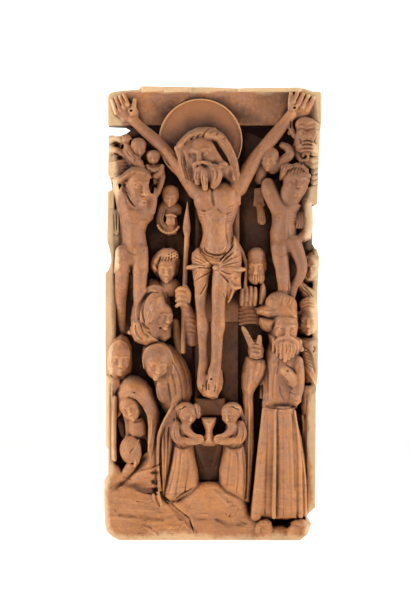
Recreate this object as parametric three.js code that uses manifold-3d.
// Crucifixion relief: one upright slab of alabaster, carved through most of its depth.
// Everything is drawn in "drawing space": x across, h up from the underside, d forward from the
// flat back. The last lines turn that space so that +Z is up and the carving faces -Y.
import * as THREE from 'three';
import { mergeVertices } from 'three/addons/utils/BufferGeometryUtils.js';
import Module from 'manifold-3d';

const wasm = await Module();
wasm.setup();

// Driving dimensions, in millimetres.
const HEIGHT = 546;
const DEPTH = 72;
const LEFT = -131;
const RIGHT = 131;
const GROUND = 16; // stone left behind the figures
const BORDER = 40; // depth of the plain strips along both sides
const BEAM = 38; // front of the cross beam
const BEAM_UNDER = 499;
const BEAM_RIM = 43;
const POST = 32; // front of the upright post
const POST_LEFT = -22;
const POST_RIGHT = 32;
const HALO = { x: -15, h: 480, radius: 50, front: 46, lip: 1.6 };
const BASE = 60; // depth of the rocky foot
const CHAMFER = 5; // worn front edge of the foot
const OVER = 6; // how far rough forms overrun the block before it is trimmed
const BED = GROUND - 3; // the rear of each form is buried to this depth

// A closed three.js geometry becomes a solid once its shared corners are one.
function toSolid(geometry) {
  geometry.deleteAttribute('normal');
  geometry.deleteAttribute('uv');
  const merged = mergeVertices(geometry, 1e-3);
  return new wasm.Manifold(new wasm.Mesh({
    numProp: 3,
    vertProperties: new Float32Array(merged.attributes.position.array),
    triVerts: new Uint32Array(merged.index.array),
  }));
}

const carving = [];
const hollows = [];
const add = (solid) => carving.push(solid);
const cut = (solid) => hollows.push(solid);

// Egg-shaped form: middle, half width, half height, half depth, lean to the right in degrees.
// A bedded form runs back into the slab behind it.
function egg([x, h, d], [w, t, f], { lean = 0, bedded = true, sides = 8 } = {}) {
  const geometry = new THREE.SphereGeometry(1, sides, 4);
  geometry.rotateX(Math.PI / 2);
  const position = geometry.attributes.position;
  const rear = bedded ? d - BED : f;
  for (let i = 0; i < position.count; i += 1) {
    const z = position.getZ(i);
    position.setZ(i, z < 0 ? z * rear : z * f);
  }
  geometry.scale(w, t, 1);
  geometry.rotateZ(THREE.MathUtils.degToRad(-lean));
  geometry.translate(x, h, d);
  return toSolid(geometry);
}

// Limb, strand or fold: a tapered tube through points [x, h, d, radius] with blunt ends.
// flat squeezes it from front to back, and a bedded one runs back into the slab behind it.
function tube(points, { sides = 5, flat = 1, bedded = true } = {}) {
  const middles = points.map(([x, h, d]) => new THREE.Vector3(x, h, d));
  const last = middles.length - 1;
  const geometry = new THREE.CylinderGeometry(1, 1, 1, sides, last);
  const position = geometry.attributes.position;
  const forward = new THREE.Vector3(0, 0, 1);
  for (let i = 0; i < position.count; i += 1) {
    const ring = Math.round((position.getY(i) + 0.5) * last);
    const radius = points[ring][3];
    const before = middles[Math.max(ring - 1, 0)];
    const after = middles[Math.min(ring + 1, last)];
    const along = after.clone().sub(before).normalize();
    const across = new THREE.Vector3().crossVectors(along, forward).normalize();
    const out = new THREE.Vector3().crossVectors(across, along);
    const front = position.getZ(i);
    const place = middles[ring].clone();
    place.addScaledVector(across, position.getX(i) * radius);
    place.addScaledVector(out, front * radius * flat);
    if (bedded && front < -0.1) place.z = BED;
    const onAxis = Math.hypot(position.getX(i), front) < 0.01;
    if (onAxis) place.addScaledVector(along, (ring === 0 ? -0.6 : 0.6) * radius);
    position.setXYZ(i, place.x, place.y, place.z);
  }
  return toSolid(geometry);
}

// Flat-fronted form with a chamfered edge: an outline of [x, h] points between two depths.
function plate(outline, back, front, chamfer = 0) {
  const shape = new THREE.Shape(outline.map(([x, h]) => new THREE.Vector2(x, h)));
  const geometry = new THREE.ExtrudeGeometry(shape, {
    depth: front - back - 2 * chamfer,
    bevelEnabled: chamfer > 0,
    bevelThickness: chamfer,
    bevelSize: chamfer,
    bevelOffset: -chamfer,
    bevelSegments: 1,
    curveSegments: 8,
  });
  geometry.translate(0, 0, back + chamfer);
  return toSolid(geometry);
}

const box = (x0, x1, h0, h1, front, chamfer = 0) => (
  plate([[x0, h0], [x1, h0], [x1, h1], [x0, h1]], 0, front, chamfer)
);

// Pleated block for drapery or fingers: ridges run from a top line to a foot line, each line given
// by its two ends [x, h, d], and the valleys between the ridges are sunk by ripple.
function pleats(count, [topA, topB], [footA, footB], ripple) {
  const columns = 2 * count;
  const geometry = new THREE.BoxGeometry(1, 1, 1, columns, 1, 1);
  const position = geometry.attributes.position;
  for (let i = 0; i < position.count; i += 1) {
    const share = position.getX(i) + 0.5;
    const [a, b] = position.getY(i) > 0 ? [topA, topB] : [footA, footB];
    const [x, h, d] = a.map((value, k) => value + (b[k] - value) * share);
    const valley = Math.round(share * columns) % 2 === 0;
    const front = valley ? d - ripple : d;
    position.setXYZ(i, x, h, position.getZ(i) > 0 ? front : BED);
  }
  return toSolid(geometry);
}

// Head of a figure: skull and nose. turn is to the right, in degrees, and moves the nose across.
function head([x, h, d], [w, t], { lean = 0, turn = 0 } = {}) {
  const side = Math.sin(THREE.MathUtils.degToRad(turn)) * w;
  const reach = Math.cos(THREE.MathUtils.degToRad(turn)) * w;
  const roll = THREE.MathUtils.degToRad(-lean);
  const on = (u, v, out) => [
    x + u * Math.cos(roll) - v * Math.sin(roll),
    h + u * Math.sin(roll) + v * Math.cos(roll),
    d + out,
  ];
  add(egg([x, h, d], [w, t, w], { lean }));
  add(tube([
    [...on(side * 0.75, t * 0.14, reach * 0.86), w * 0.14],
    [...on(side, -t * 0.2, reach * 1.0), w * 0.22],
  ], { sides: 3, bedded: false }));
}

// The outer edge of the stone, down the left side and up the right.
const EDGE_LEFT = [
  [-122, 539], [-127, 535], [-127, 499], [-106, 498], [-100, 494.5], [-110, 487], [-118, 485],
  [-126, 487], [-127, 440], [-122, 421], [-127, 418], [-127, 399], [-128, 360], [-123, 338],
  [-129, 321], [-130, 240], [-129, 112], [-126, 108], [-126, 79], [LEFT, 71], [-130, 20],
  [-127, 10], [-112, 0],
];
const EDGE_RIGHT = [
  [105, 0], [114, 8], [118, 20], [112, 24], [114, 30], [123, 38], [124, 175], [127, 200],
  [126, 288], [128, 340], [121, 356], [120, 402], [126, 404], [127, 440], [129, 490],
  [RIGHT, 505], [RIGHT, 538], [120, 540], [104, 544.5],
];
const EDGE_TOP = [[-60, 545.5], [-87, HEIGHT], [-90, 542]];
const EDGE = [...EDGE_LEFT, ...EDGE_RIGHT, ...EDGE_TOP];

function crossAndBorders() {
  // Each form runs past the edge of the stone, and the last cut trims them all to the block.
  const left = LEFT - OVER;
  const right = RIGHT + OVER;
  const top = HEIGHT + OVER;
  add(box(left, right, -OVER, top, GROUND));
  add(box(left, right, BEAM_UNDER, top, BEAM));
  add(box(-84, -28, 538, top, BEAM_RIM));
  add(box(32, 104, 539, top, BEAM_RIM));
  add(box(POST_LEFT, POST_RIGHT, 160, BEAM_UNDER + 5, POST));
  add(plate([[left, 398], [-119, 398], [-117, 250], [-119, 110], [left, 110]], 0, BORDER));
  add(plate([[left, 488], [-118, 488], [-120, 438], [left, 436]], 0, BORDER - 6));
  add(plate([[right, 502], [120, 502], [118, 403], [right, 403]], 0, BORDER));
  add(plate([[right, 352], [119, 350], [116, 180], [right, 183]], 0, BORDER));
  add(plate([[right, 190], [111, 170], [111, 26], [right, 22]], 0, BORDER + 8));
  // Halo behind the bowed head: a turned disc with a raised lip.
  const { x, h, radius, front, lip } = HALO;
  const profile = [[0, BED], [radius, BED], [radius, front + lip], [radius - 2 * lip, front + lip],
    [radius - 3 * lip, front], [0, front]];
  const halo = new THREE.LatheGeometry(profile.map(([r, t]) => new THREE.Vector2(r, t)), 20);
  halo.rotateX(Math.PI / 2);
  halo.rotateZ(0.1);
  halo.translate(x, h, 0);
  add(toSolid(halo));
}

function rockyFoot() {
  add(plate([
    [LEFT - OVER, -OVER], [LEFT - OVER, 70], [-112, 74], [-60, 58], [-24, 64], [10, 64], [40, 52], [52, 34],
    [70, 16], [100, 16], [RIGHT, 27], [RIGHT, -OVER],
  ], 0, BASE, CHAMFER));
  add(egg([-92, 40, 40], [38, 30, 26]));
  add(egg([-8, 36, 40], [48, 30, 26]));
}

function centralFigure() {
  // Raised arms, their hands nailed to the beam.
  add(tube([[-24, 424, 46, 8], [-46, 457, 44, 6.5], [-72, 483, 42, 6.5], [-97, 509, 42, 7]]));
  add(tube([[36, 430, 46, 9], [50, 457, 45, 8], [72, 484, 43, 7.5], [97, 515, 42, 7]]));
  add(pleats(4, [[-122, 531, 42], [-104, 538, 42]], [[-115, 512, 46], [-95, 518, 46]], 2.5));
  add(pleats(4, [[105, 539, 42], [122, 530, 42]], [[95, 520, 46], [112, 511, 46]], 2.5));
  // Bowed head with its twisted wreath, forked beard and long locks.
  head([-11, 463, 56], [15, 19], { lean: -12, turn: -14 });
  add(tube([
    [-40, 470, 52, 4], [-29, 486, 57, 5.5], [3, 490, 58, 5.5], [22, 468, 55, 6],
    [30, 438, 52, 4], [31, 410, 50, 2.5],
  ]));
  add(tube([[-38, 468, 54, 3.5], [-36, 450, 54, 4], [-27, 420, 50, 3]]));
  add(egg([-9, 436, 58], [6, 15, 8]));
  add(egg([4, 438, 56], [8, 15, 8]));
  // Lean body: chest, narrow waist, rounded belly, hips.
  add(tube([
    [6, 422, 44, 24], [5, 404, 46, 28], [4, 372, 46, 18], [5, 350, 46, 20], [8, 330, 45, 26],
  ], { sides: 8, flat: 0.65 }));
  add(egg([4, 357, 53], [15, 14, 11]));
  // Folded loincloth with its knot and hanging ends.
  add(tube([[-22, 342, 56, 5], [8, 326, 62, 7], [34, 344, 56, 4]]));
  add(tube([[-20, 332, 56, 8], [-16, 296, 58, 8]]));
  add(tube([[12, 330, 58, 12], [16, 312, 58, 13], [15, 288, 57, 8]]));
  add(tube([[30, 334, 54, 8], [26, 306, 54, 6]]));
  // Legs crossed at the ankle, one foot over the other.
  add(tube([
    [-12, 312, 54, 9], [-15, 286, 57, 6.5], [-12, 256, 60, 7.5], [-12, 222, 55, 5], [-13, 194, 56, 7],
  ]));
  add(tube([
    [9, 318, 54, 12], [6, 262, 62, 9.5], [4, 222, 59, 6], [2, 198, 62, 8], [-1, 176, 62, 7],
  ]));
  add(egg([-4, 184, 56], [15, 15, 11]));
  cut(egg([-2, 194, 72], [1.6, 1.6, 4], { bedded: false, sides: 4 }));
}

function spearAndHolder() {
  add(tube([[-30.5, 408, 46, 1], [-32, 371, 48, 4.6], [-34, 350, 48, 3], [-36, 226, 46, 3]]));
  head([-57, 324, 50], [10, 13]);
  add(egg([-57, 334, 44], [16, 17, 14]));
  add(egg([-36, 291, 52], [9, 13, 9], { lean: -20 }));
  add(tube([[-31, 278, 48, 7], [-26, 246, 40, 8]]));
}

function manBesidePost() {
  head([53, 328, 46], [11, 21]);
  add(tube([[30, 364, 42, 1.8], [39, 336, 44, 1.8], [38, 286, 46, 1.8]]));
  add(pleats(5, [[36, 302, 44], [66, 306, 44]], [[38, 280, 46], [60, 280, 46]], 3));
  add(tube([[36, 268, 34, 11], [58, 262, 34, 10]]));
}

function leftThief() {
  add(box(LEFT - OVER, -116, 399, 420.5, 44));
  head([-92, 418, 54], [12, 19], { lean: 6, turn: 25 });
  add(tube([[-116, 430, 48, 6], [-98, 441, 54, 9], [-78, 428, 52, 6]]));
  add(tube([[-117, 434, 44, 6], [-104, 398, 46, 10]]));
  add(tube([[-79, 422, 46, 4], [-75, 394, 46, 9]]));
  add(tube([
    [-92, 404, 44, 21], [-95, 374, 44, 15], [-98, 338, 43, 18],
  ], { sides: 6, flat: 0.75 }));
  add(tube([[-109, 342, 44, 11], [-110, 300, 36, 7], [-112, 262, 22, 6]]));
  add(tube([[-88, 340, 46, 10], [-90, 292, 44, 8]]));
  add(pleats(3, [[-123, 396, 44], [-111, 394, 44]], [[-121, 368, 43], [-110, 368, 43]], 2.5));
}

function soulBearersLeft() {
  add(egg([-89, 473, 46], [9.5, 10, 9]));
  add(tube([[-110, 470, 36, 9], [-86, 448, 42, 7]]));
  add(egg([-72, 461, 46], [9, 7, 7]));
  add(tube([[-72, 452, 42, 7], [-64, 432, 40, 6], [-70, 416, 42, 2.5]]));
  // Small angel with a chalice, gliding down.
  head([-51, 414, 46], [8, 11], { lean: 8, turn: -10 });
  add(tube([[-58, 412, 34, 7], [-66, 390, 36, 9], [-52, 374, 34, 8]]));
  add(tube([[-50, 390, 46, 6], [-52, 376, 46, 8]]));
}

function rightThief() {
  add(box(48, 62, 400, 424, 34));
  add(box(104, RIGHT + OVER, 404, 426, 44));
  head([94, 424, 54], [14, 20], { lean: 24, turn: 35 });
  add(tube([[84, 446, 48, 5], [98, 449, 50, 7], [112, 444, 48, 6]]));
  add(tube([[65, 430, 46, 7], [78, 398, 48, 11]]));
  add(tube([
    [86, 402, 46, 17], [85, 370, 45, 14.5], [88, 336, 44, 15],
  ], { sides: 6, flat: 0.8 }));
  add(tube([[80, 346, 46, 10], [84, 312, 46, 7.5], [82, 290, 38, 7]]));
  add(tube([[94, 352, 46, 10], [107, 322, 52, 6.5], [92, 296, 40, 5]]));
  add(tube([[113, 406, 40, 7], [114, 384, 40, 7], [98, 360, 42, 6]]));
  add(pleats(4, [[99, 394, 42], [110, 396, 42]], [[99, 374, 46], [111, 376, 44]], 2));
}

function soulBearersRight() {
  head([66, 458, 46], [11, 14], { lean: -10, turn: 10 });
  add(tube([[62, 472, 36, 5], [53, 452, 36, 4], [56, 432, 34, 4]]));
  add(tube([[70, 444, 40, 6], [92, 464, 42, 4], [80, 474, 40, 2.5]]));
  // Grinning devil that clutches a small soul.
  add(egg([112, 498, 42], [16, 14, 14]));
  add(tube([[112, 486, 42, 12], [117, 450, 42, 11], [122, 420, 40, 8]]));
}

function rightColumn() {
  head([117, 326, 42], [10, 14], { turn: -10 });
  add(tube([[106, 336, 42, 4], [118, 350, 42, 5], [126, 338, 40, 4]]));
  add(tube([[104, 314, 38, 6], [122, 298, 40, 7]]));
  head([114, 268, 44], [13, 19], { turn: -15 });
  add(tube([[110, 246, 38, 14], [114, 196, 36, 12]]));
  add(pleats(4, [[106, 230, 48], [116, 238, 46]], [[110, 212, 50], [122, 222, 48]], 2.5));
  add(tube([[118, 184, 38, 10], [116, 60, 40, 9]]));
}

function hoodedMan() {
  add(tube([[-72, 300, 40, 20], [-74, 278, 42, 23], [-78, 250, 40, 19]], { sides: 6 }));
  add(tube([[-86, 262, 50, 7], [-80, 296, 54, 8], [-56, 298, 54, 7], [-50, 274, 50, 5]]));
  head([-62, 276, 50], [11, 20], { turn: 30 });
  add(tube([[-76, 292, 58, 6], [-76, 262, 58, 7], [-58, 250, 50, 6]]));
}

function mourningWomen() {
  // Veiled head at the outer edge.
  head([-112, 220, 40], [11, 17], { turn: 10 });
  add(tube([[-124, 214, 38, 6], [-114, 242, 42, 6], [-100, 228, 38, 5]]));
  add(tube([[-113, 200, 38, 12], [-122, 120, 32, 9], [-122, 84, 36, 8]]));
  // Younger woman who bends over the fallen one.
  head([-66, 213, 50], [15, 19], { lean: 14, turn: 12 });
  add(tube([[-82, 220, 50, 5], [-64, 235, 54, 7], [-40, 216, 50, 7], [-32, 196, 46, 6]]));
  add(pleats(4, [[-70, 196, 50], [-30, 208, 48]], [[-71, 146, 50], [-45, 148, 52]], 5));
}

function swooningWoman() {
  // Wide mantle drawn over the head and down to the ground.
  add(tube([
    [-110, 130, 46, 7], [-108, 178, 52, 9], [-92, 188, 56, 9], [-74, 160, 54, 11],
    [-74, 112, 50, 13], [-82, 76, 48, 16],
  ]));
  add(tube([[-92, 180, 44, 18], [-92, 100, 38, 20]]));
  head([-97, 158, 54], [12, 15], { lean: 22, turn: -18 });
  add(tube([[-92, 146, 52, 10], [-90, 128, 52, 12]]));
  add(pleats(3, [[-128, 172, 42], [-114, 172, 42]], [[-128, 80, 44], [-112, 80, 44]], 4));
  add(pleats(4, [[-84, 136, 54], [-58, 150, 50]], [[-112, 66, 56], [-58, 58, 54]], 6));
  // Small figure crouched at the mother's side.
  add(egg([-99, 107, 50], [13, 16, 12]));
}

function chaliceAngels() {
  for (const [middle, side] of [[-32, -1], [24, 1]]) {
    const flip = (a, b) => (side > 0 ? [a, b] : [b, a]);
    head([middle, 150, 56], [11, 14], { turn: -18 * side });
    add(tube([[middle, 136, 52, 12], [middle + side, 106, 50, 13]]));
    add(tube([[middle + side * 6, 136, 50, 6], [middle - side * 14, 124, 60, 5], [-5 + side * 5, 118, 62, 4]]));
    add(tube([[middle + side * 10, 160, 48, 5], [middle + side * 17, 134, 46, 5], [middle + side * 17, 66, 44, 5]]));
    add(pleats(3, flip([middle - side * 12, 114, 60], [middle + side * 13, 114, 56]),
      flip([middle - side * 17, 60, 60], [middle + side * 15, 60, 56]), 4));
  }
  const cup = [[0, 0], [13, 0], [12, 4], [5, 9], [4, 16], [10, 24], [10, 32], [0, 32]];
  const chalice = new THREE.LatheGeometry(cup.map(([r, t]) => new THREE.Vector2(r, t)), 8);
  chalice.translate(-5, 114, 56);
  add(toSolid(chalice));
}

function centurion() {
  // Soft hat with a turned brim, ear flap, bearded head.
  add(tube([[62, 276, 54, 5], [80, 288, 56, 10], [99, 270, 54, 6]]));
  head([86, 258, 54], [14, 20], { turn: 30 });
  add(egg([65, 261, 54], [8, 10, 8]));
  add(egg([88, 242, 58], [13, 13, 11]));
  // Broad chest, belted tunic and its deep pleats down to the hem.
  add(tube([[80, 236, 44, 22], [80, 206, 46, 24], [80, 160, 46, 20]], { sides: 6, flat: 0.8 }));
  add(tube([[61, 159, 56, 5], [80, 157, 62, 5], [99, 159, 56, 5]]));
  add(pleats(6, [[61, 158, 60], [101, 158, 58]], [[46, 27, 62], [113, 30, 58]], 6));
  // Raised arm with a pointing finger, wide sleeve, and its long hanging end.
  add(egg([50, 224, 56], [11, 12, 10]));
  add(tube([[45, 228, 58, 4], [36, 253, 60, 2.6]]));
  add(tube([[54, 230, 58, 4], [55, 243, 58, 3]]));
  add(tube([[49, 218, 52, 14], [47, 190, 54, 14], [62, 172, 48, 10]]));
  add(tube([[39, 190, 50, 5], [42, 62, 46, 6]]));
  // Other hand laid on the chest.
  add(tube([[98, 210, 56, 9], [92, 164, 54, 9]]));
  add(egg([87, 198, 62], [10, 10, 7]));
  // Feet below the hem.
  add(tube([[60, 24, 50, 8], [63, 8, 60, 9]]));
  add(tube([[99, 24, 48, 8], [101, 8, 58, 9]]));
}

crossAndBorders();
rockyFoot();
centralFigure();
spearAndHolder();
manBesidePost();
leftThief();
soulBearersLeft();
rightThief();
soulBearersRight();
rightColumn();
hoodedMan();
mourningWomen();
swooningWoman();
chaliceAngels();
centurion();

// All forms join in one stone, which keeps inside the block that it was cut from.
let stone = carving.reduce((whole, solid) => whole.add(solid));
for (const hollow of hollows) stone = stone.subtract(hollow);
stone = stone.intersect(plate(EDGE, 0, DEPTH));

// Pockets closed in between overlapping forms are solid stone, so only the outer skin is kept.
const skins = stone.decompose().sort((a, b) => b.volume() - a.volume());
const cutMesh = skins[0].getMesh();
const geometry = new THREE.BufferGeometry();
geometry.setAttribute('position', new THREE.BufferAttribute(cutMesh.vertProperties, cutMesh.numProp));
geometry.setIndex(new THREE.BufferAttribute(cutMesh.triVerts, 1));
geometry.computeVertexNormals();

const alabaster = new THREE.MeshStandardMaterial({ color: 0xc39470, roughness: 0.55, metalness: 0 });
const relief = new THREE.Mesh(geometry, alabaster);
relief.name = 'crucifixion_relief';
relief.rotation.x = Math.PI / 2;
relief.position.y = DEPTH / 2;

const part = new THREE.Group();
part.add(relief);

export default part;
